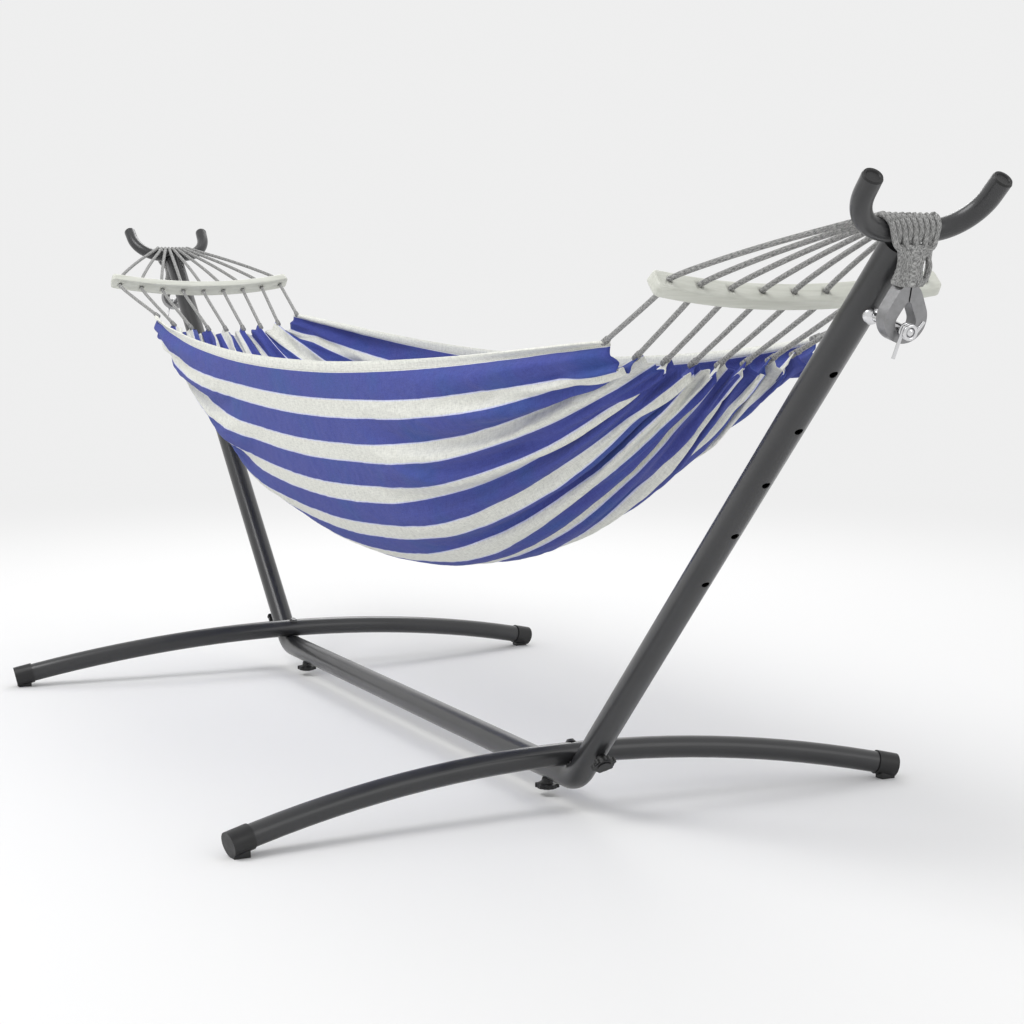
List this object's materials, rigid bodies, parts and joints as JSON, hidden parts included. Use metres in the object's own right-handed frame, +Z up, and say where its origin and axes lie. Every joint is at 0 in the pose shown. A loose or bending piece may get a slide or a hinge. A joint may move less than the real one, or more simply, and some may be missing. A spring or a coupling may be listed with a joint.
{
  "type": "hammock on stand",
  "caption": "Striped cloth hammock with wooden spreader bars, hung on cords between the horned posts of a knock-down steel tube stand.",
  "frame": {"origin": "on the ground under the middle of the stand", "axes": "+X along the length to the near end, +Y across it, +Z up"},
  "size_m": [3.0004, 1.1168, 0.9082],
  "materials": {
    "frame_paint": "satin charcoal powder coat",
    "black_moulding": "fine textured moulding",
    "black_steel": "black coated screw",
    "plain_steel": "zinc plated thread",
    "bright_steel": "bright plated",
    "galvanised_steel": "galvanised",
    "cord": "braided grey cord",
    "painted_wood": "pale painted hardwood",
    "striped_cloth": "woven cotton, blue and off-white stripes"
  },
  "bodies": {
    "stand": {"base_beam": "frame_paint", "elbow_near": "frame_paint", "elbow_far": "frame_paint", "post_near": "frame_paint", "post_far": "frame_paint", "foot_tube_near": "frame_paint", "foot_tube_far": "frame_paint", "foot_caps_near": "black_moulding", "foot_caps_far": "black_moulding", "foot_screw_near": "black_steel", "foot_screw_far": "black_steel", "weld_nuts_near": "plain_steel", "weld_nuts_far": "plain_steel", "horn_near": "frame_paint", "horn_far": "frame_paint", "horn_plugs_near": "black_moulding", "horn_plugs_far": "black_moulding", "hook_pin_near": "bright_steel", "hook_pin_far": "bright_steel", "keeper_clip_near": "bright_steel", "keeper_clip_far": "bright_steel", "thimble_near": "galvanised_steel", "thimble_far": "galvanised_steel", "clew_eye_near": "cord", "clew_eye_far": "cord", "clew_bundle_near": "cord", "clew_bundle_far": "cord", "spare_loop_near": "cord", "spare_loop_far": "cord"},
    "hammock": {"bed": "striped_cloth", "spreader_bar_near": "painted_wood", "spreader_bar_far": "painted_wood", "clew_cords_near": "cord", "clew_cords_far": "cord"},
    "beam_knob_near": {"beam_knob_near": "black_moulding", "beam_stud_near": "plain_steel"},
    "beam_knob_far": {"beam_knob_far": "black_moulding", "beam_stud_far": "plain_steel"},
    "post_knob_near": {"post_knob_near": "black_moulding", "post_stud_near": "plain_steel"},
    "post_knob_far": {"post_knob_far": "black_moulding", "post_stud_far": "plain_steel"}
  },
  "joints": [
    {"name": "hammock_swing", "type": "hinge", "parent": "stand", "child": "hammock", "pos_m": [0, 0, 0.85], "axis": [1, 0, 0], "range_deg": [-25, 25]},
    {"name": "beam_knob_near_turn", "type": "hinge", "parent": "stand", "child": "beam_knob_near", "pos_m": [0.541, 0, 0.028], "axis": [0, 0, -1], "continuous": true},
    {"name": "post_knob_near_turn", "type": "hinge", "parent": "stand", "child": "post_knob_near", "pos_m": [0.71637, 0, 0.09608], "axis": [0.7071, 0, -0.7071], "continuous": true},
    {"name": "beam_knob_far_turn", "type": "hinge", "parent": "stand", "child": "beam_knob_far", "pos_m": [-0.541, 0, 0.028], "axis": [0, 0, -1], "continuous": true},
    {"name": "post_knob_far_turn", "type": "hinge", "parent": "stand", "child": "post_knob_far", "pos_m": [-0.71637, 0, 0.09608], "axis": [-0.7071, 0, -0.7071], "continuous": true}
  ]
}
